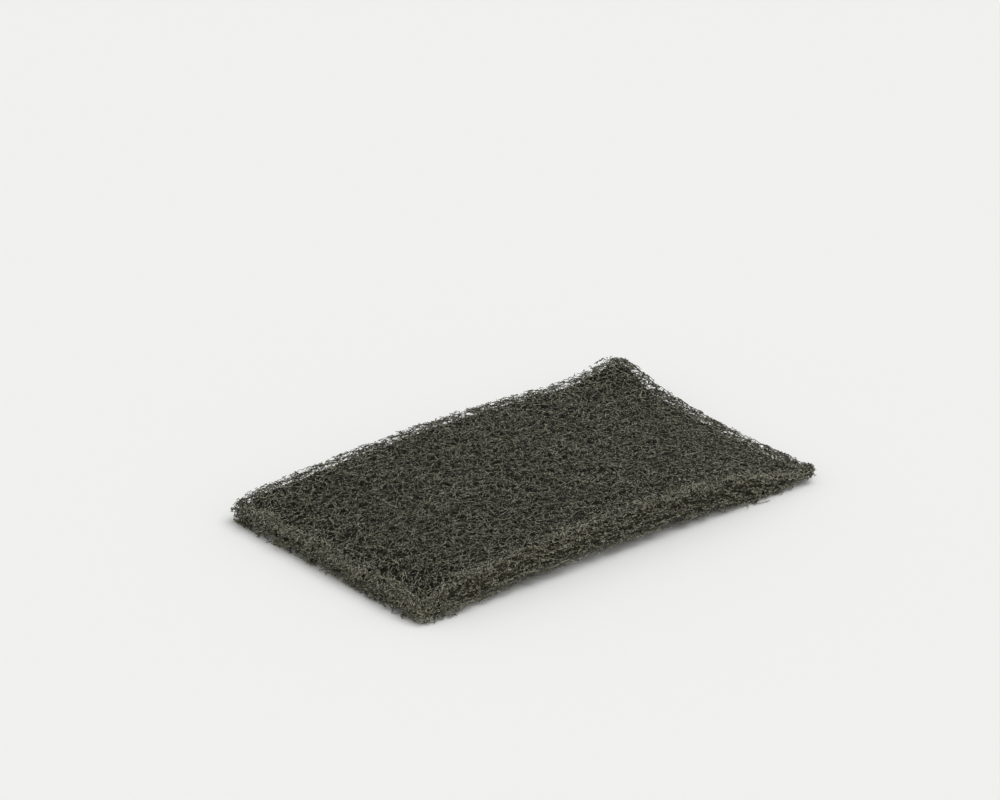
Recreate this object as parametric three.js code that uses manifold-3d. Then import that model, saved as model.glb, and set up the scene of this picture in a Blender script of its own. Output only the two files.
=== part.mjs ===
import * as THREE from "three";
import { mergeVertices } from "three/addons/utils/BufferGeometryUtils.js";
import Module from "manifold-3d";

// An abrasive hand pad: one slab of lofty, non-woven web cut to a rectangle. Crimped fibres,
// bonded where they cross, make the whole of it, and the pad lies slightly arched from use.
// Millimetres. X runs along the pad, Y across it from its front edge to its back edge, Z up.
// The origin is under the middle of the pad, on the surface that it rests on.

// The slab
const length = 126;
const width = 75;
const thickness = 9.4; // along the front edge, where the web is loftiest
const backThickness = 7; // along the back edge
const leftEndThickness = 5.5; // the cut flattened both ends
const rightEndThickness = 3.4; // at the right end's front corner
const rightEndBackThickness = 6.2; // and at its back corner
const leftTaper = 12; // how far in from an end the web regains its loft
const rightTaper = 31;
const cornerRadius = 1.3; // of the flat faces; the outline's own is larger by the edge round
const nearRadius = 4.8; // the front left corner is worn rounder
const nearPinch = 1.8; // and thinner
const nearReach = 9; // how far from that corner it is thin
const edgeRound = 1.2;
const edgeDip = 1.8; // how far the right end is drawn in at its middle

// The bend
const archFront = 2.1; // the underside's lift at the front edge
const archBack = 1.6;
const leftRest = 8; // the strip at the left end that lies flat on the surface, at the front edge
const leftRestBack = 16; // and at the back edge
const rightRest = 22;
const curlFront = 1.2; // the lift of the right end's corners
const curlBack = 3.4;
const curlReach = 10; // how far in from the right end the front corner starts to lift
const curlReachBack = 22; // and the back corner
const curlBetween = 18; // the stretch of the right end between its corners that stays down

// The matted faces: crimped bundles of fibre cross each other as ridges, with hollows between
const cell = 2.2; // spacing of the net of points that carries the ridges
const ridgeRise = 0.5; // from the web's mean face up to a crest
const hollowDepth = 0.5; // and down to a hollow
const bundleLength = 15;
const bundleGap = 6.1; // spacing of the bundles' middles over a face
const bundlePull = 0.75; // the share of its way by which a point of the net is drawn to a bundle
const bundleSide = 0.48; // and from how far to each side, as a share of the cell
const crimpPitch = 6.5;
const crimpSwing = 1.3;
const flatUnder = 0.8; // the underside is pressed smooth where it is lifted less than this
const edgeRagged = 0.9; // how unevenly the cut edge stands out and draws in

// Stray loops of fibre that stand out of the cut edge and the top
const loopRadius = 0.34;
const loopLength = 11;
const loopRise = 1; // how far a loop's middle stands clear of the web
const loopRoot = 1.2; // how far its two ends reach down into the web
const loopStep = 1.7;
const edgeLoopGap = 22;
const topLoopGap = 30;

const unevenRun = 0.25; // bundles and loops are longer and shorter by up to this share
const unevenPlace = 0.35; // and stand off an even spacing by up to this share of it

const color = 0x42423a;

function clamp01(t) {
  return Math.min(1, Math.max(0, t));
}

function ease(t) {
  const c = clamp01(t);
  return c * c * (3 - 2 * c);
}

// A repeatable number from 0 to 1 for each pair of whole numbers and each use of it.
function hash(i, j, use) {
  const h = Math.sin(i * 127.1 + j * 311.7 + use * 74.7) * 43758.5453;
  return h - Math.floor(h);
}

// A value between the one at the front edge and the one at the back edge.
function between(front, back, y) {
  return front + (back - front) * clamp01(y / width + 0.5);
}

// How high the underside is off the surface: an arch between the two flat ends, higher at the
// front, and the right end's two corners curled up.
function lift(x, y) {
  const rest = between(leftRest, leftRestBack, y);
  const along = clamp01((x + length / 2 - rest) / (length - rest - rightRest));
  const arch = between(archFront, archBack, y) * Math.sin(Math.PI * along);
  const corner = clamp01((Math.abs(y) - curlBetween / 2) / ((width - curlBetween) / 2));
  const [curl, reach] = y < 0 ? [curlFront, curlReach] : [curlBack, curlReachBack];
  return arch + curl * corner * corner * ease(1 - (length / 2 - x) / reach);
}

// How thick the web is: full in the middle, flattened towards both ends and the back, and worn
// thin at the front left corner.
function loft(x, y) {
  const full = between(thickness, backThickness, y);
  const end = between(rightEndThickness, rightEndBackThickness, y);
  const left = 1 - Math.sin((Math.PI / 2) * clamp01((x + length / 2) / leftTaper));
  const right = 1 - ease((length / 2 - x) / rightTaper);
  const fromCorner = Math.hypot(x + length / 2, y + width / 2);
  const worn = nearPinch * ease(1 - fromCorner / nearReach);
  return full - (full - leftEndThickness) * left - (full - end) * right - worn;
}

// Both faces at a place, with a relief from -1 in a hollow to 1 on a crest.
function topside(x, y, relief) {
  return lift(x, y) + loft(x, y) + (relief > 0 ? ridgeRise : hollowDepth) * relief;
}

function underside(x, y, relief) {
  const up = lift(x, y);
  return up + ((ridgeRise + hollowDepth) / 2) * (1 - relief) * ease(up / flatUnder);
}

// How far the right end is drawn in at a place across the pad.
function dipAt(x, y) {
  const middle = 1 - clamp01(Math.abs(y) / (width / 2)) ** 2;
  return edgeDip * middle * ease(1 - (length / 2 - x) / rightTaper);
}

// A point of the plan: u and v run from -1 to 1 over a rectangle with rounded corners, grown
// outwards from the flat faces' outline.
function plan(u, v, grow) {
  const radius = (u < 0 && v < 0 ? nearRadius : cornerRadius) + grow;
  const halfX = length / 2 - edgeRound + grow;
  const halfY = width / 2 - edgeRound + grow;
  let x = u * halfX;
  let y = v * halfY;
  const a = (Math.abs(x) - halfX + radius) / radius;
  const b = (Math.abs(y) - halfY + radius) / radius;
  if (a > 0 && b > 0) {
    x = Math.sign(x) * (halfX - radius + radius * a * Math.sqrt(1 - (b * b) / 2));
    y = Math.sign(y) * (halfY - radius + radius * b * Math.sqrt(1 - (a * a) / 2));
  }
  return [x - dipAt(x, y), y];
}

// Where a bundle is at a share t of its run: it heads one way and swings from side to side.
function crimped(middle, heading, run, phase, t) {
  const ahead = run * (t - 0.5);
  const swing = crimpSwing * Math.sin((2 * Math.PI * ahead) / crimpPitch + phase);
  return [
    middle[0] + ahead * Math.cos(heading) - swing * Math.sin(heading),
    middle[1] + ahead * Math.sin(heading) + swing * Math.cos(heading),
  ];
}

// A number from 0 to 1 as the share of the usual run that a bundle or loop has.
function runShare(chance) {
  return 1 + unevenRun * (2 * chance - 1);
}

// And as its place along the stretch that is its own, where 0.5 is the middle.
function placeShare(chance) {
  return 0.5 + unevenPlace * (2 * chance - 1);
}

// Things scattered about a loose net over the pad's plan, each with its place and heading.
function scatter(gap, use) {
  const nx = Math.round(length / gap);
  const ny = Math.round(width / gap);
  const places = [];
  for (let i = 0; i < nx; i++) {
    for (let j = 0; j < ny; j++) {
      places.push({
        middle: [
          ((i + placeShare(hash(i, j, use))) / nx - 0.5) * length,
          ((j + placeShare(hash(i, j, use + 1))) / ny - 0.5) * width,
        ],
        heading: Math.PI * hash(i, j, use + 2),
        phase: 2 * Math.PI * hash(i, j, use + 3),
        share: runShare(hash(i, j, use + 4)),
      });
    }
  }
  return places;
}

// The middle lines of a face's bundles, as short straight steps.
function bundles(use) {
  return scatter(bundleGap, use).map(({ middle, heading, phase, share }) => {
    const run = bundleLength * share;
    const steps = Math.round((4 * run) / cell);
    const line = [];
    for (let k = 0; k <= steps; k++) {
      line.push(crimped(middle, heading, run, phase, k / steps));
    }
    return { middle, reach: run / 2 + crimpSwing + cell, line };
  });
}

// Draws a point of the net onto the nearest bundle, if one passes close to it, so that the
// crests run on unbroken.
function drawTo(lines, x, y) {
  let nearest = bundleSide * cell;
  let found = null;
  for (const { middle, reach, line } of lines) {
    if (Math.hypot(middle[0] - x, middle[1] - y) > reach) continue;
    for (const point of line) {
      const distance = Math.hypot(point[0] - x, point[1] - y);
      if (distance < nearest) {
        nearest = distance;
        found = point;
      }
    }
  }
  if (!found) return [x, y, -1];
  return [x + bundlePull * (found[0] - x), y + bundlePull * (found[1] - y), 1];
}

// Twice the area of a triangle in the plan, positive when its corners run anticlockwise.
function turning(a, b, c) {
  return (b[0] - a[0]) * (c[1] - a[1]) - (b[1] - a[1]) * (c[0] - a[0]);
}

// The slab as one closed surface: a net of points over each face, and rows round the edge
// that roll over from one to the other.
function slab() {
  const nx = Math.round(length / cell);
  const ny = Math.round(width / cell);
  const points = [];
  const faces = [];
  const addPoint = (x, y, z) => points.push([x, y, z]) - 1;

  const addFace = (heightAt, use, up) => {
    const lines = bundles(use);
    const net = [];
    for (let i = 0; i <= nx; i++) {
      for (let j = 0; j <= ny; j++) {
        let [x, y] = plan((2 * i) / nx - 1, (2 * j) / ny - 1, 0);
        let relief = 0;
        if (i > 0 && i < nx && j > 0 && j < ny) [x, y, relief] = drawTo(lines, x, y);
        net.push({ index: addPoint(x, y, heightAt(x, y, relief)), relief });
      }
    }
    const at = (i, j) => net[i * (ny + 1) + j];
    const addTriangle = (a, b, c) => {
      if (up) faces.push(a.index, b.index, c.index);
      else faces.push(a.index, c.index, b.index);
    };
    for (let i = 0; i < nx; i++) {
      for (let j = 0; j < ny; j++) {
        const [a, b, c, d] = [at(i, j), at(i + 1, j), at(i + 1, j + 1), at(i, j + 1)];
        const [pa, pb, pc, pd] = [a, b, c, d].map((n) => points[n.index]);
        const alongAC = Math.min(turning(pa, pb, pc), turning(pa, pc, pd)) > 0;
        const alongBD = Math.min(turning(pa, pb, pd), turning(pb, pc, pd)) > 0;
        const crestBD = b.relief + d.relief > a.relief + c.relief;
        if (alongBD && (crestBD || !alongAC)) {
          addTriangle(a, b, d);
          addTriangle(b, c, d);
        } else {
          addTriangle(a, b, c);
          addTriangle(a, c, d);
        }
      }
    }
    return at;
  };

  const bottom = addFace(underside, 21, false);
  const top = addFace(topside, 11, true);
  const round = [];
  for (let i = 0; i < nx; i++) round.push([i, 0]);
  for (let j = 0; j < ny; j++) round.push([nx, j]);
  for (let i = nx; i > 0; i--) round.push([i, ny]);
  for (let j = ny; j > 0; j--) round.push([0, j]);

  const rows = [round.map(([i, j]) => bottom(i, j).index)];
  const turns = [-50, -15, 15, 50]; // degrees round the edge, from the underside up
  for (const turn of turns) {
    const angle = THREE.MathUtils.degToRad(turn);
    rows.push(
      round.map(([i, j], k) => {
        const uneven = edgeRagged * (hash(k, turn, 6) - 0.5) * Math.cos(angle);
        const out = edgeRound * Math.cos(angle) + uneven;
        const [x, y] = plan((2 * i) / nx - 1, (2 * j) / ny - 1, out);
        const low = underside(x, y, 0);
        const high = topside(x, y, 0);
        const straight = Math.sign(turn) * ((high - low) / 2 - edgeRound);
        return addPoint(x, y, (low + high) / 2 + straight + edgeRound * Math.sin(angle));
      }),
    );
  }
  rows.push(round.map(([i, j]) => top(i, j).index));
  for (let r = 0; r + 1 < rows.length; r++) {
    rows[r].forEach((a, k) => {
      const next = (k + 1) % round.length;
      const b = rows[r][next];
      const c = rows[r + 1][next];
      const d = rows[r + 1][k];
      if (hash(k, r, 7) > 0.5) faces.push(a, b, d, b, c, d);
      else faces.push(a, b, c, a, c, d);
    });
  }
  return closed(points.flat(), faces);
}

function closed(numbers, faces) {
  const geometry = new THREE.BufferGeometry();
  geometry.setAttribute("position", new THREE.Float32BufferAttribute(numbers, 3));
  geometry.setIndex(faces);
  return geometry;
}

// A loop of fibre: three-sided, along a path whose ends reach down into the web. The path is
// given by a place on the web and a height over it, for each share of the run.
function loop(run, placeAt) {
  const section = new THREE.Shape();
  for (let k = 0; k < 3; k++) {
    const angle = (2 * Math.PI * k) / 3;
    const [x, y] = [loopRadius * Math.cos(angle), loopRadius * Math.sin(angle)];
    if (k) section.lineTo(x, y);
    else section.moveTo(x, y);
  }
  const steps = Math.round(run / loopStep);
  const path = [];
  for (let k = 0; k <= steps; k++) {
    const t = k / steps;
    const height = (loopRoot + loopRise) * Math.sqrt(Math.sin(Math.PI * t)) - loopRoot;
    path.push(new THREE.Vector3(...placeAt(t, height)));
  }
  return new THREE.ExtrudeGeometry(section, {
    steps,
    extrudePath: new THREE.CatmullRomCurve3(path),
    bevelEnabled: false,
  });
}

function topLoops() {
  return scatter(topLoopGap, 31).map(({ middle, heading, phase, share }) => {
    const run = loopLength * share;
    return loop(run, (t, height) => {
      const [x, y] = crimped(middle, heading, run, phase, t);
      return [x, y, topside(x, y, 0) + height];
    });
  });
}

// Loops out of the four cut sides, each along its side at about half the web's height.
function edgeLoops() {
  const halfX = length / 2 - edgeRound - nearRadius;
  const halfY = width / 2 - edgeRound - nearRadius;
  const sides = [
    { half: halfX, at: (s, out) => [s, -width / 2 - out] },
    { half: halfX, at: (s, out) => [s, width / 2 + out] },
    { half: halfY, at: (s, out) => [-length / 2 - out, s] },
    { half: halfY, at: (s, out) => [length / 2 + out - dipAt(length / 2, s), s] },
  ];
  return sides.flatMap(({ half, at }, side) => {
    const count = Math.round((2 * half) / edgeLoopGap);
    return Array.from({ length: count }, (_, i) => {
      const run = loopLength * runShare(hash(i, side, 41));
      const phase = 2 * Math.PI * hash(i, side, 42);
      const middle = ((i + placeShare(hash(i, side, 43))) / count - 0.5) * 2 * half;
      return loop(run, (t, height) => {
        const [along, swing] = crimped([middle, 0], 0, run, phase, t);
        const [x, y] = at(along, height);
        const middleZ = (underside(x, y, 0) + topside(x, y, 0)) / 2;
        return [x, y, middleZ + swing];
      });
    });
  });
}

const wasm = await Module();
wasm.setup();

function toSolid(geometry) {
  const bare = geometry.clone();
  bare.deleteAttribute("normal");
  bare.deleteAttribute("uv");
  const merged = mergeVertices(bare, 1e-4);
  return new wasm.Manifold(
    new wasm.Mesh({
      numProp: 3,
      vertProperties: new Float32Array(merged.attributes.position.array),
      triVerts: new Uint32Array(merged.index.array),
    }),
  );
}

// The web: the slab with every loop joined to it, centred over the origin.
function buildWeb() {
  let joined = toSolid(slab());
  for (const one of [...topLoops(), ...edgeLoops()]) joined = joined.add(toSolid(one));
  const mesh = joined.getMesh();
  const numbers = [];
  for (let i = 0; i < mesh.vertProperties.length; i += mesh.numProp) {
    numbers.push(...mesh.vertProperties.subarray(i, i + 3));
  }
  const geometry = closed(numbers, Array.from(mesh.triVerts));
  geometry.computeBoundingBox();
  const { min, max } = geometry.boundingBox;
  geometry.translate(-(min.x + max.x) / 2, -(min.y + max.y) / 2, -min.z);
  geometry.computeVertexNormals();
  return geometry;
}

const pad = new THREE.Group();
const web = new THREE.Mesh(
  buildWeb(),
  new THREE.MeshStandardMaterial({ color, roughness: 0.9, metalness: 0 }),
);
web.name = "abrasive_web";
pad.add(web);

export default pad;
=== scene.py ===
import math

import bpy
import numpy as np
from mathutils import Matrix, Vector


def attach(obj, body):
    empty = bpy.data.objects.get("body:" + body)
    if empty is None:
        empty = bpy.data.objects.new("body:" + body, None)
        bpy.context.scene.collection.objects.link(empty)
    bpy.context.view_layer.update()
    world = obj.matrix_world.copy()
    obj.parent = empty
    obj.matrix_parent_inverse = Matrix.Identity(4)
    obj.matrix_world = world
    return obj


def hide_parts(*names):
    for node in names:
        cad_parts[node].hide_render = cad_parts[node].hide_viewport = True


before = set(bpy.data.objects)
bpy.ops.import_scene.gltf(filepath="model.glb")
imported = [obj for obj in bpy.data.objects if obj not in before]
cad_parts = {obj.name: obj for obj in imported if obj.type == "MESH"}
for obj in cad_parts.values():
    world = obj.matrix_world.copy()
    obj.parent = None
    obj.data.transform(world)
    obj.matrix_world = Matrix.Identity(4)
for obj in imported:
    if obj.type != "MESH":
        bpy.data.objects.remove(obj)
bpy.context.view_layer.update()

# An abrasive hand pad: one slab of lofty non-woven web, all crimped nylon fibre under a dark
# abrasive resin. The script works in millimetres, about the middle of the pad's own outline,
# and turns them into metres of the frame as it makes a mesh.

mm = 0.001
padNode = "abrasive_web"
bodyName = "root"


# Small tools

def linearColour(hexText):
    s = np.array([int(hexText[i:i + 2], 16) for i in (1, 3, 5)]) / 255
    linear = np.where(s <= 0.04045, s / 12.92, ((s + 0.055) / 1.055) ** 2.4)
    return (*linear.tolist(), 1.0)


# 3 t squared less 2 t cubed: level at both ends
def ease(t):
    t = np.clip(t, 0, 1)
    return t * t * (3 - 2 * t)


# One shader node: settings go to its properties or sockets, links feed its sockets. A link
# named in0, in1 and so on goes by the socket's number.
def addNode(tree, kind, settings=None, **links):
    node = tree.nodes.new(kind)
    for key, value in (settings or {}).items():
        if isinstance(key, str) and hasattr(node, key) and key not in node.inputs:
            setattr(node, key, value)
        else:
            node.inputs[key].default_value = value
    for key, source in links.items():
        tree.links.new(source, node.inputs[int(key[2:]) if key.startswith("in") else key])
    return node


def newMaterial(name):
    material = bpy.data.materials.new(name)
    material.use_nodes = True
    tree = material.node_tree
    return material, tree, tree.nodes["Principled BSDF"]


# The pad's form, read from the fixed frame

padForm = {
    "nearRadius": 6.0,  # the front left corner is worn round
    "cornerRadius": 2.4,
    "edgeDip": 1.8,  # how far the right end is drawn in at its middle
    "dipReach": 31.0,
    "rimRound": {1: 0.6, -1: 0.3},  # the cut edge's own rounding, above and below
    "ragX": (5.3, 3.1, 8.9),  # lengths of the waves by which a cut edge comes and goes
    "ragY": (4.7, 3.3, 7.9),
    "cornerWorn": 1.6,  # the tip of the lifted back corner is worn down by this
    "wornReach": 7.0,
    "frayReach": 5.0,  # how far in from the back edge and the right end the web is frayed thin
    "frayLeft": 1.6,  # at the left end of the back edge it reaches further in, by this factor
    "denseShare": 0.8,  # how much less the lifted back corner is frayed
    "cornerReach": 14.0,  # how far from its tip
}
reading = {
    "sideLooks": 0.85,  # faces of a cut side look this nearly straight out
    "sideDepth": 4.5,  # and lie within this of the frame's box
    "faceLooks": 0.6,  # faces of the top and the underside look this nearly up or down
    "edgeMargin": 1.5,  # and lie this far inside the cut sides
    "netStep": 2.5,
    "netBlur": 2.2,
}


# Each face of the frame's pad: its middle in millimetres, its normal and its area.
def readFaces():
    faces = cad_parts[padNode].data.polygons
    centre, normal, area = (np.empty(len(faces) * n) for n in (3, 3, 1))
    faces.foreach_get("center", centre)
    faces.foreach_get("normal", normal)
    faces.foreach_get("area", area)
    return centre.reshape(-1, 3) / mm, normal.reshape(-1, 3), area


faceCentre, faceNormal, faceArea = readFaces()


# Where a cut side stands: the mean place of the faces near it that look straight out of it.
def sideAt(axis, sign):
    place = faceCentre[:, axis] * sign
    looks = faceNormal[:, axis] * sign > reading["sideLooks"]
    looks &= place > place.max() - reading["sideDepth"]
    return np.average(faceCentre[looks, axis], weights=faceArea[looks])


# The right end's mean stands two thirds of its dip inside its corners.
sides = [sideAt(0, -1), sideAt(0, 1) + padForm["edgeDip"] * 2 / 3, sideAt(1, -1), sideAt(1, 1)]
padMiddle = np.array([(sides[0] + sides[1]) / 2, (sides[2] + sides[3]) / 2, 0])
halfX, halfY = (sides[1] - sides[0]) / 2, (sides[3] - sides[2]) / 2
faceCentre = faceCentre - padMiddle


# Mean height of the top (side 1) or the underside (-1) over a net of places. At each one a
# plane is fitted by least squares to the faces that look that way, weighed by area and by a
# bell curve of their distance, and its height there is taken.
def readFace(side):
    margin, step, blur = reading["edgeMargin"], reading["netStep"], reading["netBlur"]
    inside = (np.abs(faceCentre[:, :2]) < (halfX - margin, halfY - margin)).all(1)
    looks = inside & (faceNormal[:, 2] * side > reading["faceLooks"])
    centre, area = faceCentre[looks], faceArea[looks]
    dx = centre[:, 0] - np.arange(-halfX, halfX + step, step)[:, None]
    dy = centre[:, 1] - np.arange(-halfY, halfY + step, step)[:, None]
    nearX, nearY = np.exp(-(dx / blur) ** 2 / 2) * area, np.exp(-(dy / blur) ** 2 / 2)

    def total(powerX, powerY, value=1.0):
        return (nearX * dx ** powerX * value) @ (nearY * dy ** powerY).T

    left = np.array([[total(0, 0), total(1, 0), total(0, 1)],
                     [total(1, 0), total(2, 0), total(1, 1)],
                     [total(0, 1), total(1, 1), total(0, 2)]])
    z = centre[:, 2]
    right = np.stack([total(0, 0, z), total(1, 0, z), total(0, 1, z)], 2)
    return np.linalg.solve(np.moveaxis(left, (0, 1), (2, 3)), right[..., None])[..., 0, 0]


faceNets = {1: readFace(1), -1: readFace(-1)}


# Height of a face at any place: straight-line blends between the four nearest net points. The
# back right corner is worn down from above.
def faceHeight(side, x, y):
    net = faceNets[side]
    pastLast = 1.001  # keeps a place just short of the last net point
    i = np.clip((x + halfX) / reading["netStep"], 0, net.shape[0] - pastLast)
    j = np.clip((y + halfY) / reading["netStep"], 0, net.shape[1] - pastLast)
    a, b = i.astype(int), j.astype(int)
    s, t = i - a, j - b
    front = net[a, b] * (1 - s) + net[a + 1, b] * s
    back = net[a, b + 1] * (1 - s) + net[a + 1, b + 1] * s
    worn = padForm["cornerWorn"] * ease(1 - np.hypot(halfX - x, halfY - y) / padForm["wornReach"])
    return front * (1 - t) + back * t - worn * (side > 0)


# How far the right end is drawn in: a parabola across the pad, fading inwards.
def dipAt(x, y):
    middle = 1 - np.clip(np.abs(y) / halfY, 0, 1) ** 2
    return padForm["edgeDip"] * middle * ease(1 - (halfX - x) / padForm["dipReach"])


# Corner radius of the plan in a place's own quarter: the front left one is the largest.
def radiusAt(x, y):
    return np.where((x < 0) & (y < 0), padForm["nearRadius"], padForm["cornerRadius"])


# Mostly between -1 and 1: sines along both axes, no two in step.
def ragAt(x, y):
    waves = [(x, length) for length in padForm["ragX"]] + [(y, length) for length in padForm["ragY"]]
    total = sum(np.sin(2 * math.pi * place / length + length) for place, length in waves)
    return total / (len(waves) / 2)


# How far a place lies outside the cut outline, negative inside: the distance to a rectangle
# with round corners, whose right end is drawn in.
def outside(x, y):
    r = radiusAt(x, y)
    qx = np.abs(x + dipAt(x, y)) - halfX + r
    qy = np.abs(y) - halfY + r
    return np.hypot(np.maximum(qx, 0), np.maximum(qy, 0)) + np.minimum(np.maximum(qx, qy), 0) - r


# Height of the rounded web: the face, less a quarter circle's drop at the rim.
def webHeight(side, x, y):
    r = padForm["rimRound"][side]
    t = np.clip(outside(x, y) / r + 1, 0, 1)
    return faceHeight(side, x, y) - side * r * (1 - np.sqrt(1 - t * t))


# 1 at the back edge, its left corner and the right end, where light comes through the web, and 0
# away from them. The lifted corner between them stays dense.
def frayAt(x, y):
    inward = np.minimum(halfX - x - dipAt(x, y), halfY - y)
    inward = np.minimum(inward, (halfX + x + halfY - y) / padForm["frayLeft"])
    dense = ease(1 - np.hypot(halfX - x, halfY - y) / padForm["cornerReach"]) * padForm["denseShare"]
    return (1 - ease(inward / padForm["frayReach"])) * (1 - dense)


print(f"form: {2 * halfX:.1f} by {2 * halfY:.1f} mm, middle {padMiddle}")


# A mesh piece out of whole arrays: points in millimetres, then the corners of its faces.
def meshFrom(name, points, quads, triangles, material, colours=None):
    mesh = bpy.data.meshes.new(name)
    corners = np.concatenate([quads.ravel(), triangles.ravel()]).astype(np.int32)
    sizes = np.concatenate([np.full(len(quads), 4), np.full(len(triangles), 3)])
    starts = np.concatenate([[0], np.cumsum(sizes)[:-1]]).astype(np.int32)
    mesh.vertices.add(len(points))
    mesh.vertices.foreach_set("co", ((points + padMiddle) * mm).astype(np.float32).ravel())
    mesh.loops.add(len(corners))
    mesh.loops.foreach_set("vertex_index", corners)
    mesh.polygons.add(len(sizes))
    mesh.polygons.foreach_set("loop_start", starts)
    mesh.polygons.foreach_set("use_smooth", np.ones(len(sizes), bool))
    mesh.update(calc_edges=True)
    if colours is not None:
        attribute = mesh.attributes.new("fibreColour", "FLOAT_COLOR", "POINT")
        attribute.data.foreach_set("color", colours.astype(np.float32).ravel())
    mesh.materials.append(material)
    piece = bpy.data.objects.new(name, mesh)
    bpy.context.scene.collection.objects.link(piece)
    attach(piece, bodyName)
    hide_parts(padNode)
    print(f"{name}: {len(quads) * 2 + len(triangles)} triangles")
    return piece


# Materials

webColours = {
    "dark": "#19190e",  # the tones of a fibre
    "middle": "#474635",
    "pale": "#a6a591",
    "cut": "#b4b094",  # its end, where the coat is cut through
    "brown": "#574d36",  # the casts that fibres have
    "green": "#4b523a",
    "grey": "#4f4f42",
    "deep": "#050503",  # painted shade: the web's middle, near black between its lines
    "gap": "#2a291f",  # its lines under the top, painted darker as shade,
    "side": "#525040",  # painted less dark in the cut sides
    "under": "#75746a",  # and lightest on the underside
}
nylonLook = {
    "roughness": 0.45,
    "ior": 1.53,  # nylon and phenolic resin
}
depthLook = {
    "netMesh": 0.8,  # millimetres across a mesh of the coarser net of lines
    "finer": 1.4,  # how many times finer the other net is
    "lineFrom": 0.02,  # a line fades out between these shares of a mesh
    "lineTo": 0.2,
    "lineRise": 0.2,  # in millimetres
    "bendSize": 2.222,  # the lines bend about once in this many millimetres,
    "bend": 1.2,  # by up to this
    "roughness": 0.85,
    "ior": 1.5,
    "specular": 0.15,  # no sheen comes out of the gaps
}


# Nylon fibre dipped in resin and black grit: satin, not shiny, grey with an olive cast. To the
# eye it gives fine pale curls over dark gaps, with a few small glints.
def fibreMaterial():
    material, tree, shader = newMaterial("resinCoatedNylon")
    colour = addNode(tree, "ShaderNodeAttribute", {"attribute_name": "fibreColour"})
    tree.links.new(colour.outputs["Color"], shader.inputs["Base Color"])
    shader.inputs["Roughness"].default_value = nylonLook["roughness"]
    shader.inputs["IOR"].default_value = nylonLook["ior"]
    return material


# The same web further down, where fibre crosses fibre, coloured as painted shade: near black, with a
# faint net of darker lines in it. Two nets of cell edges lie over each other, bent by a noise.
def depthMaterial():
    values = depthLook
    material, tree, shader = newMaterial("webDepths")
    place = addNode(tree, "ShaderNodeTexCoord")
    bendScale = 1 / (values["bendSize"] * mm)
    bent = addNode(tree, "ShaderNodeTexNoise", {"Scale": bendScale, "Detail": 1.0},
                   Vector=place.outputs["Object"])
    bend = (values["bend"] * mm,) * 3
    shift = addNode(tree, "ShaderNodeVectorMath", {"operation": "MULTIPLY_ADD", 1: bend},
                    in0=bent.outputs["Color"], in2=place.outputs["Object"])
    fade = {"From Min": values["lineFrom"], "From Max": values["lineTo"], "To Min": 1.0, "To Max": 0.0}
    lines = None
    for finer in (1.0, values["finer"]):
        scale = finer / (values["netMesh"] * mm)
        cells = addNode(tree, "ShaderNodeTexVoronoi",
                        {"feature": "DISTANCE_TO_EDGE", "Scale": scale},
                        Vector=shift.outputs[0])
        line = addNode(tree, "ShaderNodeMapRange", fade, in0=cells.outputs["Distance"])
        if lines is None:
            lines = line.outputs[0]
        else:
            both = addNode(tree, "ShaderNodeMath", {"operation": "MAXIMUM"},
                           in0=lines, in1=line.outputs[0])
            lines = both.outputs[0]
    lineColour = addNode(tree, "ShaderNodeAttribute", {"attribute_name": "fibreColour"})
    # Sockets 6 and 7 are the two colours that are mixed: the near-black painted shade between the
    # lines, and the lines' own colour.
    mix = addNode(tree, "ShaderNodeMix", {"data_type": "RGBA", 6: linearColour(webColours["deep"])},
                  in0=lines, in7=lineColour.outputs["Color"])
    bump = addNode(tree, "ShaderNodeBump", {"Strength": 1.0, "Distance": values["lineRise"] * mm},
                   Height=lines)
    tree.links.new(mix.outputs[2], shader.inputs["Base Color"])
    tree.links.new(bump.outputs[0], shader.inputs["Normal"])
    shader.inputs["Roughness"].default_value = values["roughness"]
    shader.inputs["IOR"].default_value = values["ior"]
    shader.inputs["Specular IOR Level"].default_value = values["specular"]
    return material


fibreFinish = fibreMaterial()
depthFinish = depthMaterial()
print(f"materials: {fibreFinish.name}, {depthFinish.name}")


# Fibre, as whole arrays: a row for each fibre and a column for each point along it

# Crimped paths about their own middle, and the normal of each one's plane. The heading swings
# as a sine of the length along the fibre, in a plane that leans about the fibre's course; the
# course drifts. The path is the running sum of the steps: the heading's cosine ahead, its sine
# aside, split by the lean into a level and an upright share.
def crimp(rng, count, values, course):
    step, points = values["step"], values["points"]
    s = np.arange(points) * step
    pitch = rng.uniform(*values["crimpPitch"], (count, 1))
    swing = rng.uniform(*values["crimpSwing"], (count, 1))
    phase = rng.uniform(0, 2 * math.pi, (count, 2))
    beat = 1 + values["beat"] * np.sin(s * 2 * math.pi / (values["beatLength"] * pitch) + phase[:, 1:])
    heading = swing * beat * np.sin(2 * math.pi * s / pitch + phase[:, :1])
    course = course + rng.normal(0, values["drift"], (count, 1)) * s
    lean = rng.uniform(-values["lean"], values["lean"], (count, 1)) + 0 * s
    ahead, aside = np.cos(heading), np.sin(heading)
    run = np.stack([
        ahead * np.cos(course) - aside * np.cos(lean) * np.sin(course),
        ahead * np.sin(course) + aside * np.cos(lean) * np.cos(course),
        aside * np.sin(lean),
    ], 2) * step
    path = np.cumsum(run, 1)
    path -= path[:, points // 2:points // 2 + 1]
    path[:, :, 2] -= path[:, :, 2].mean(1, keepdims=True)
    normal = np.stack([
        np.sin(course) * np.sin(lean), -np.cos(course) * np.sin(lean), np.cos(lean) + 0 * course,
    ], 2)
    return path, normal


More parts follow.
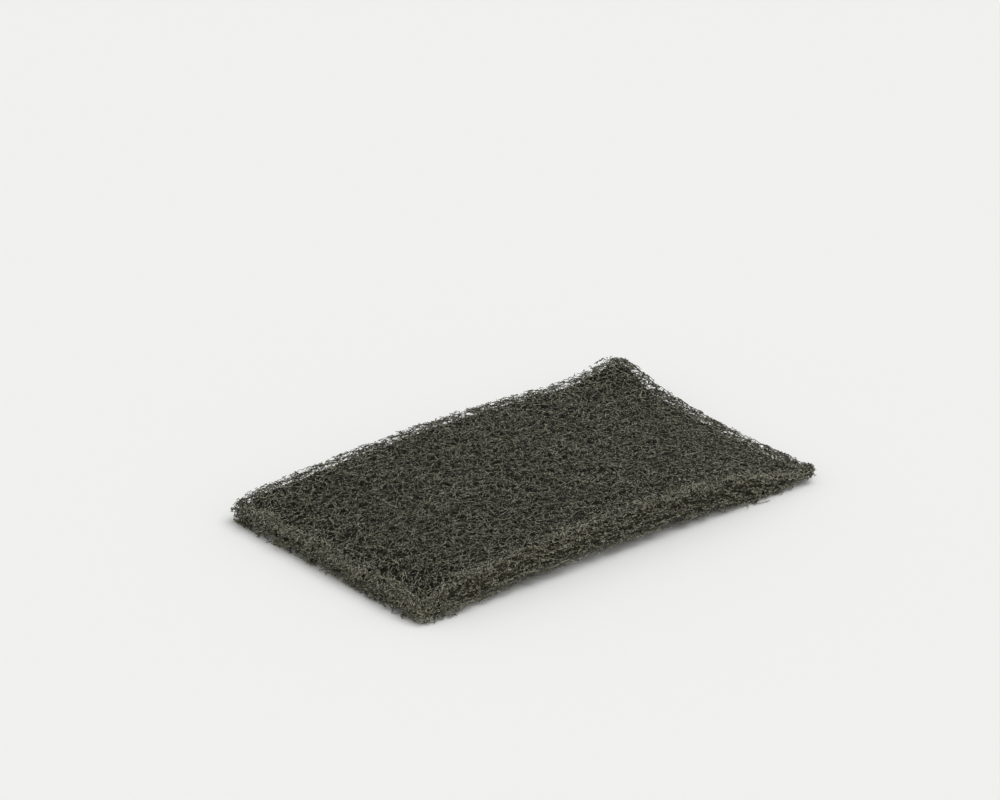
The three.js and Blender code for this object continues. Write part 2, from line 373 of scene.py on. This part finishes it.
# Three-sided tubes along the paths, closed at both ends. Each ring is the point plus the radius
# times a turn round the tangent; facing is a direction that no path runs along. Only segments
# marked in keep are made, and each unbroken run gets its own two ends.
def tubes(paths, radius, keep, facing):
    count, points, _ = paths.shape
    ahead = np.gradient(paths, axis=1)
    ahead /= np.linalg.norm(ahead, axis=2, keepdims=True) + 1e-9
    across = np.cross(facing, ahead)
    across /= np.linalg.norm(across, axis=2, keepdims=True) + 1e-9
    upward = np.cross(ahead, across)
    turn = np.arange(3) * (2 * math.pi / 3)
    ring = (across[:, :, None] * np.cos(turn)[:, None] + upward[:, :, None] * np.sin(turn)[:, None])
    verts = paths[:, :, None] + ring * radius[:, :, None, None]
    index = np.arange(count * points * 3).reshape(count, points, 3)
    a, b = index[:, :-1][keep], index[:, 1:][keep]
    nextSide = [1, 2, 0]
    quads = np.stack([a, a[:, nextSide], b[:, nextSide], b], 2).reshape(-1, 4)
    before, after = runEnds(keep)
    starts = index[after & ~before][:, ::-1]
    ends = index[before & ~after]
    used = (before | after).ravel()
    order = np.cumsum(np.repeat(used, 3)) - 1
    verts = verts.reshape(-1, 3)[np.repeat(used, 3)]
    return verts, order[quads], order[np.concatenate([starts, ends])], used


# Whether the segment before and the one after each point is kept.
def runEnds(keep):
    none = np.zeros((len(keep), 1), bool)
    return np.concatenate([none, keep], 1), np.concatenate([keep, none], 1)


# Linear colours: each fibre has its own depth of tone and cast, both wander along it as the coat of
# resin is thick or thin, and grit speckles it from step to step. Its last argument shifts the tone:
# painted shade, darker with depth and in the frayed sides, and in the cut sides the bands of the web's
# layers. A fibre's radius swells with coat and grit.
def fibreColours(rng, count, values, shadeAndTone):
    points = values["points"]
    s = np.arange(points) * values["step"]
    coatRun = rng.uniform(*values["coatRun"], (count, 1))
    coat = np.sin(2 * math.pi * s / coatRun + rng.uniform(0, values["coatPhase"], (count, 1)))
    grit = rng.normal(0, 1, (count, points))
    tone = rng.normal(values["tone"], values["toneSpread"], (count, 1)) + values["coat"] * coat
    tone = np.clip(tone + values["grit"] * grit + shadeAndTone, 0, 1)[..., None]
    dark, middle, pale = (np.array(linearColour(webColours[k])) for k in ("dark", "middle", "pale"))
    darker = dark + (middle - dark) * tone * 2
    lighter = middle + (pale - middle) * (tone * 2 - 1)
    colour = np.where(tone < 0.5, darker, lighter)
    casts = np.array([linearColour(webColours[k]) for k in ("brown", "green", "grey")])
    level = colour[..., :3].mean(2, keepdims=True) / casts[:, :3].mean()
    cast = casts[rng.integers(0, 3, count)][:, None] * level
    share = rng.uniform(0, values["cast"], (count, 1, 1)) * (1 - tone)
    colour = colour * (1 - share) + cast * share
    colour[..., 3] = 1
    return colour, 1 + values["coatSwell"] * coat + values["gritSwell"] * grit.clip(-2, 2)


# One piece of many fibres: tubes of their own radius and colour, and some cut ends pale.
def makeFibres(name, rng, paths, keep, values, facing, shadeAndTone):
    colour, swell = fibreColours(rng, len(paths), values, shadeAndTone)
    before, after = runEnds(keep)
    cutEnd = (before != after) & (rng.random(keep.shape[:1] + (1,)) < values["paleEnds"])
    colour[cutEnd] = linearColour(webColours["cut"])
    radius = rng.uniform(*values["radius"], (len(paths), 1)) * swell
    verts, quads, triangles, used = tubes(paths, radius, keep, facing)
    colours = np.repeat(colour.reshape(-1, 4)[used], 3, axis=0)
    return meshFrom(name, verts, quads, triangles, fibreFinish, colours)


# Fibres over the two faces

faceFibre = {
    "step": 0.38,
    "points": 15,
    "margin": 1.0,  # how far outside the pad's sides fibres may start
    "crimpPitch": (1.2, 2.2),
    "crimpSwing": (0.5, 1.1),
    "beat": 0.3,  # the swing rises and falls by this share
    "beatLength": 2.6,  # over this many pitches
    "drift": 0.1,  # turn in radians for each millimetre
    "lean": 1.25,
    "radius": (0.065, 0.095),  # a three-sided tube looks about 0.13 mm wide
    "tone": 0.5,
    "toneSpread": 0.13,
    "coat": 0.03,  # how much the coat of resin changes the tone
    "coatRun": (1.5, 4.0),
    "coatPhase": 6.3,  # radians, all of a turn
    "coatSwell": 0.12,
    "grit": 0.45,
    "gritSwell": 0.08,
    "cast": 0.8,
    "paleEnds": 0.2,  # the share of fibres whose cut ends show pale
    "cutFrom": -0.7,  # fibres end between these distances outside the outline
    "cutTo": 1.0,
    "cutCrowding": 1.5,  # over 1, most of them end near the first of the two
    "tufts": 0.3,  # the cut edge comes and goes by this
    "strays": 0.06,  # the share of fibres that reach further out
    "strayReach": 1.2,
    "frayShade": -0.5,  # painted shade: in the frayed sides they are darkened, as they are seen against the light
    "floorGap": 0.15,
}
# The layers from the outside in. Depths are the least and the most under the face; the deeper layers
# are darker, a painted shade, and are cut shorter by thinner where the web is frayed.
faceLayers = {
    "top_fibres_1": {"seed": 11, "side": 1, "count": 2050, "depths": (-0.1, 0.25),
                     "shadeAndTone": 0.02, "thinner": 0.2},
    "top_fibres_2": {"seed": 12, "side": 1, "count": 2050, "depths": (0.1, 0.5),
                     "shadeAndTone": -0.02, "thinner": 0.7},
    "top_fibres_3": {"seed": 15, "side": 1, "count": 2050, "depths": (0.35, 0.8),
                     "shadeAndTone": -0.06, "thinner": 1.4},
    "top_fibres_4": {"seed": 17, "side": 1, "count": 1050, "depths": (0.6, 1.1),
                     "shadeAndTone": -0.1, "thinner": 2.4},
    "under_fibres": {"seed": 13, "side": -1, "count": 1250, "depths": (-0.1, 0.5),
                     "shadeAndTone": 0.02, "thinner": 1.5},
}


# A fibre is cut where it leaves the outline by its own random length. Thinner is how much
# shorter it is cut where the web is frayed.
def cutAtOutline(rng, paths, values, thinner=0.0):
    count = len(paths)
    out = outside(paths[:, :, 0], paths[:, :, 1])
    share = rng.uniform(0, 1, (count, 1)) ** values["cutCrowding"]
    limit = values["cutFrom"] + (values["cutTo"] - values["cutFrom"]) * share
    limit = limit + np.where(rng.random((count, 1)) < values["strays"], values["strayReach"], 0)
    limit = limit + values["tufts"] * ragAt(paths[:, :, 0], paths[:, :, 1])
    inside = out + thinner * frayAt(paths[:, :, 0], paths[:, :, 1]) < limit
    return inside[:, 1:] & inside[:, :-1], out


# Places over a rectangle, one at random in each cell of an even net.
def spread(rng, across, up, count):
    cell = math.sqrt(across * up / count)
    nx, ny = round(across / cell), round(up / cell)
    i, j = np.meshgrid(np.arange(nx), np.arange(ny), indexing="ij")
    x = (i.ravel() + rng.random(nx * ny)) / nx - 0.5
    y = (j.ravel() + rng.random(nx * ny)) / ny - 0.5
    return x[:, None] * across, y[:, None] * up


# One layer over a face: crimped paths about an even net of places, each laid on the rounded web
# at a depth of its own, never through what the pad rests on, and cut at the outline.
def faceFibres(name, seed, side, count, depths, shadeAndTone, thinner):
    rng = np.random.default_rng(seed)
    values = faceFibre
    x, y = spread(rng, 2 * (halfX + values["margin"]), 2 * (halfY + values["margin"]), count)
    count = len(x)
    paths, facing = crimp(rng, count, values, rng.uniform(0, 2 * math.pi, (count, 1)))
    paths[:, :, 0] += x
    paths[:, :, 1] += y
    depth = rng.uniform(*depths, (count, 1))
    paths[:, :, 2] += webHeight(side, paths[:, :, 0], paths[:, :, 1]) - side * depth
    paths[:, :, 2] = np.maximum(paths[:, :, 2], values["floorGap"])
    keep, _ = cutAtOutline(rng, paths, values, thinner)
    # Painted shade: fibres over the frayed sides are darkened, as they are seen against the light.
    shadeAndTone += values["frayShade"] * frayAt(x, y)
    return makeFibres(name, rng, paths, keep, values, facing, shadeAndTone)


# Fibres through the cut edge. The web is laid in thin layers, so its cut side shows runs of
# fibre along it, in pale and dark bands.

edgeFibre = {
    **faceFibre,
    "count": 2000,  # in each of its two pieces
    "seeds": {"edge_fibres_1": 14, "edge_fibres_2": 16},
    "band": 2.9,  # how far in they are laid
    "crowding": (1.25, 0.8),  # over 1 they crowd to the edge, at the front and at the back
    "deepest": 3.6,
    "radius": (0.09, 0.125),
    "crimpPitch": (1.3, 2.2),
    "crimpSwing": (1.0, 1.6),
    "frontShare": 0.63,  # of them are in the front edge and the left end
    "rimShare": 0.1,  # of them lie along the upper rim
    "rimLevels": (0.8, 0.99),  # from the underside at 0 to the top at 1
    "levels": (0.01, 0.99),
    "alongSide": 0.55,  # spread of their courses about the side's own, in radians
    "lean": 0.9,
    # Paler than the faces' fibres: painted light on the cut sides.
    "tone": 0.645,
    "toneSpread": 0.14,
    "cast": 1.0,
    "paleEnds": 0.5,
    "layers": 5.0,
    "layerTone": 0.09,
    "layerWave": 31.0,  # they wander up and down once in this length,
    "layerSway": 1 / 3,  # by this share of a layer
    "cutFrom": -0.4,
    "cutTo": 0.9,
}


# Crimped paths that run along the four sides, each at its own share of the web's height there.
# Their tone follows sines of that height, which gives the bands.
def edgeFibres(name, seed):
    rng = np.random.default_rng(seed)
    values, count = edgeFibre, edgeFibre["count"]
    # Places fall evenly along the four sides, then a random way in.
    spot = (np.arange(count)[:, None] + rng.random((count, 1))) / count * 2 * (halfX + halfY)
    front = rng.random((count, 1)) < values["frontShare"]
    sign = np.where(front, -1.0, 1.0)
    inward = values["band"] * rng.random((count, 1)) ** np.where(front, *values["crowding"])
    longSide = spot < 2 * halfX
    x = np.where(longSide, spot - halfX, sign * (halfX - inward))
    y = np.where(longSide, sign * (halfY - inward), spot - 2 * halfX - halfY)
    course = np.where(longSide, 0, math.pi / 2) + rng.normal(0, values["alongSide"], (count, 1))
    paths, facing = crimp(rng, count, values, course)
    paths[:, :, 0] += x - dipAt(x, y)
    paths[:, :, 1] += y
    below = webHeight(-1, paths[:, :, 0], paths[:, :, 1])
    above = webHeight(1, paths[:, :, 0], paths[:, :, 1])
    level = np.where(rng.random((count, 1)) < values["rimShare"],
                     rng.uniform(*values["rimLevels"], (count, 1)),
                     rng.uniform(*values["levels"], (count, 1)))
    paths[:, :, 2] += below + level * (above - below)
    paths[:, :, 2] = np.maximum(paths[:, :, 2], values["floorGap"])
    keep, out = cutAtOutline(rng, paths, values)
    near = out > -values["deepest"]
    keep &= near[:, 1:] & near[:, :-1]
    sway = values["layerSway"] * np.sin(2 * math.pi * spot / values["layerWave"])
    bands = 2 * math.pi * (values["layers"] * level + sway)
    # The tone of the layers' bands, plus painted shade in the frayed sides.
    shadeAndTone = values["layerTone"] * np.sin(bands) + values["frayShade"] * frayAt(x, y)
    return makeFibres(name, rng, paths, keep, values, facing, shadeAndTone)


# The dense middle of the web, which no eye sees into, coloured as painted shade

middleWeb = {
    "seed": 5,
    "grid": 1.5,
    "insetFace": {1: 1.15, -1: 0.6},  # how far it lies under the top and above the underside
    "insetEdge": 2.3,
    "frayedRight": 1.7,  # how much further in it ends at the frayed right end
    "frayedBack": 0.4,  # and at the back edge
    "frayedFace": 0.2,  # and how much deeper its faces lie at both
    "ragged": 0.5,  # how far its edge comes and goes
    "cornerCut": 0.6,  # its corner radius is smaller than the pad's by this
    "roll": 0.5,  # how far the middle of its edge bulges
    "rollUneven": 0.2,
    "rows": 7,
    "relief": 0.2,
    "lowest": 0.35,  # above what the pad rests on
    "thinnest": 0.8,
}


# A closed slab: over each face a net of points, u and v from -1 to 1 carried onto a rectangle
# with round corners, and between their rims rows that bulge as a half circle does.
def middleMass():
    values = middleWeb
    nx = int(2 * halfX / values["grid"])
    ny = int(2 * halfY / values["grid"])
    rng = np.random.default_rng(values["seed"])
    u, v = np.meshgrid(np.linspace(-1, 1, nx + 1), np.linspace(-1, 1, ny + 1), indexing="ij")
    flatX, flatY = halfX - values["insetEdge"], halfY - values["insetEdge"]

    def planAt(u, v, grow):
        x, y = u * (flatX + grow), v * (flatY + grow)
        r = radiusAt(x, y) - values["cornerCut"] + grow
        a = (np.abs(x) - flatX - grow + r) / r
        b = (np.abs(y) - flatY - grow + r) / r
        corner = (a > 0) & (b > 0)
        cx = np.sign(x) * (flatX + grow - r + r * a * np.sqrt(np.clip(1 - b * b / 2, 0, 1)))
        cy = np.sign(y) * (flatY + grow - r + r * b * np.sqrt(np.clip(1 - a * a / 2, 0, 1)))
        x, y = np.where(corner, cx, x), np.where(corner, cy, y)
        # Drawn in from the frayed sides: half the depth on each axis, fading to the other side.
        rag = values["ragged"] * ragAt(x, y)
        x, y = x + rag * x / flatX, y + rag * y / flatY
        dense = ease(1 - (flatY - y) / padForm["cornerReach"])
        frayX = values["frayedRight"] * (1 + x / flatX) / 2 * (1 - dense)
        frayY = values["frayedBack"] * (1 + y / flatY) / 2
        return x - dipAt(x, y) - frayX, y - frayY

    x, y = planAt(u, v, 0.0)
    fray = values["frayedFace"] * frayAt(x + values["insetEdge"], y + values["insetEdge"])
    relief = fray + values["relief"] * rng.random((2,) + x.shape)
    under = faceHeight(-1, x, y) + values["insetFace"][-1] + relief[0]
    above = faceHeight(1, x, y) - values["insetFace"][1] - relief[1]
    # Where the web is thin the two come no nearer than the thinnest middle, halfway up.
    half = np.maximum((above - under) / 2, values["thinnest"] / 2)
    centre = np.maximum((above + under) / 2, values["lowest"] + half)
    low = np.stack([x, y, centre - half], 2).reshape(-1, 3)
    high = np.stack([x, y, centre + half], 2).reshape(-1, 3)
    index = np.arange((nx + 1) * (ny + 1)).reshape(nx + 1, ny + 1)
    rim = np.concatenate([index[:-1, 0], index[-1, :-1], index[:0:-1, -1], index[0, :0:-1]])
    rimU, rimV = u.ravel()[rim], v.ravel()[rim]
    rows = []
    for t in np.linspace(0, 1, values["rows"] + 1)[1:-1]:
        bulge = values["roll"] * math.sin(math.pi * t) + values["rollUneven"] * rng.random(len(rimU))
        rowX, rowY = planAt(rimU, rimV, bulge)
        rows.append(np.stack([rowX, rowY, low[rim, 2] * (1 - t) + high[rim, 2] * t], 1))
    size = len(low)
    rims = [rim] + [2 * size + k * len(rim) + np.arange(len(rim)) for k in range(len(rows))]
    rims.append(rim + size)
    a, b, c, d = index[:-1, :-1], index[1:, :-1], index[1:, 1:], index[:-1, 1:]
    face = np.stack([a, b, c, d], 2).reshape(-1, 4)
    quads = [face[:, ::-1], face + size]
    for lower, upper in zip(rims, rims[1:]):
        quads.append(np.stack([lower, np.roll(lower, -1), np.roll(upper, -1), upper], 1))
    points = np.concatenate([low, high] + rows)
    # Colours of its lines, as painted shade: darkest under the top, lighter in the cut sides, lightest
    # on the underside.
    colours = np.tile(linearColour(webColours["gap"]), (len(points), 1))
    colours[:size] = linearColour(webColours["under"])
    colours[2 * size:] = linearColour(webColours["side"])
    noTriangles = np.zeros((0, 3), int)
    return meshFrom("middle_web", points, np.concatenate(quads), noTriangles, depthFinish, colours)


middleMass()
for pieceName, layer in faceLayers.items():
    faceFibres(pieceName, **layer)
for pieceName, seed in edgeFibre["seeds"].items():
    edgeFibres(pieceName, seed)


# Floor, light and camera

studio = {
    "floor": "#f0f0ee",
    "floorHalf": 8.0,  # metres from its middle to its sides
    "floorRoughness": 0.9,
    "floorSpecular": 0.2,
    "sunStrength": 1.45,
    "sunAngle": 50.0,  # degrees across, for a soft shadow
    "worldStrength": 0.58,
    "sunFrom": (0.42, 0.0, 1.0),  # to the right, away from the camera and up
}
shot = {
    "azimuth": -39.5,
    "elevation": 25.0,
    "distance": 1500.0,
    "pixelsPerMm": 4.067,
    "frame": (1000, 800),  # pixels
    "originAt": (526.0, 500.8),  # where the pad's middle, at floor level, shows in that frame
    "sensor": 36.0,
    "clip": (0.05, 30.0),  # metres
}


# A matt pale floor that takes only the pad's soft shadow, an even white world and one wide lamp.
def makeStudio():
    size = studio["floorHalf"]
    mesh = bpy.data.meshes.new("floor")
    mesh.from_pydata([(-size, -size, 0), (size, -size, 0), (size, size, 0), (-size, size, 0)],
                     [], [(0, 1, 2, 3)])
    floor = bpy.data.objects.new("floor", mesh)
    bpy.context.scene.collection.objects.link(floor)
    material, tree, shader = newMaterial("paleFloor")
    shader.inputs["Base Color"].default_value = linearColour(studio["floor"])
    shader.inputs["Roughness"].default_value = studio["floorRoughness"]
    shader.inputs["Specular IOR Level"].default_value = studio["floorSpecular"]
    mesh.materials.append(material)
    world = bpy.data.worlds.new("studioWorld")
    bpy.context.scene.world = world
    world.use_nodes = True
    world.node_tree.nodes["Background"].inputs["Color"].default_value = (1, 1, 1, 1)
    world.node_tree.nodes["Background"].inputs["Strength"].default_value = studio["worldStrength"]
    light = bpy.data.lights.new("softKey", "SUN")
    light.energy = studio["sunStrength"]
    light.angle = math.radians(studio["sunAngle"])
    lamp = bpy.data.objects.new("softKey", light)
    bpy.context.scene.collection.objects.link(lamp)
    right, away, _, _ = shotAxes()
    x, y, z = studio["sunFrom"]
    toward = x * right + y * away + z * np.array([0, 0, 1])
    lamp.rotation_mode = "QUATERNION"
    lamp.rotation_quaternion = Vector(toward).to_track_quat("Z", "Y")
    print(f"studio: floor {floor.name}, lamp {lamp.name}")


# The camera's right, away from it along the floor, back towards it and its own up.
def shotAxes():
    a, e = math.radians(shot["azimuth"]), math.radians(shot["elevation"])
    right = np.array([math.cos(a), math.sin(a), 0])
    away = np.array([-math.sin(a), math.cos(a), 0])
    back = np.array([math.sin(a) * math.cos(e), -math.cos(a) * math.cos(e), math.sin(e)])
    return right, away, back, np.cross(back, right)


# The camera aims at the point that puts the pad's middle at its own place in the frame.
def makeCamera():
    right, _, back, up = shotAxes()
    perMm, distance = shot["pixelsPerMm"], shot["distance"]
    wide, high = shot["frame"]
    aside = (shot["originAt"][0] - wide / 2) / perMm
    below = (shot["originAt"][1] - high / 2) / perMm
    aim = (padMiddle + up * below - right * aside) * mm
    data = bpy.data.cameras.new("camera")
    data.sensor_width = shot["sensor"]
    data.lens = shot["sensor"] * perMm * distance / wide
    data.clip_start, data.clip_end = shot["clip"]
    camera = bpy.data.objects.new("camera", data)
    bpy.context.scene.collection.objects.link(camera)
    camera.location = aim + back * distance * mm
    camera.rotation_mode = "QUATERNION"
    camera.rotation_quaternion = Vector(-back).to_track_quat("-Z", "Y")
    bpy.context.scene.camera = camera
    print(f"camera: azimuth {shot['azimuth']}, elevation {shot['elevation']}")


makeStudio()
makeCamera()
bpy.context.scene.view_settings.view_transform = "Standard"
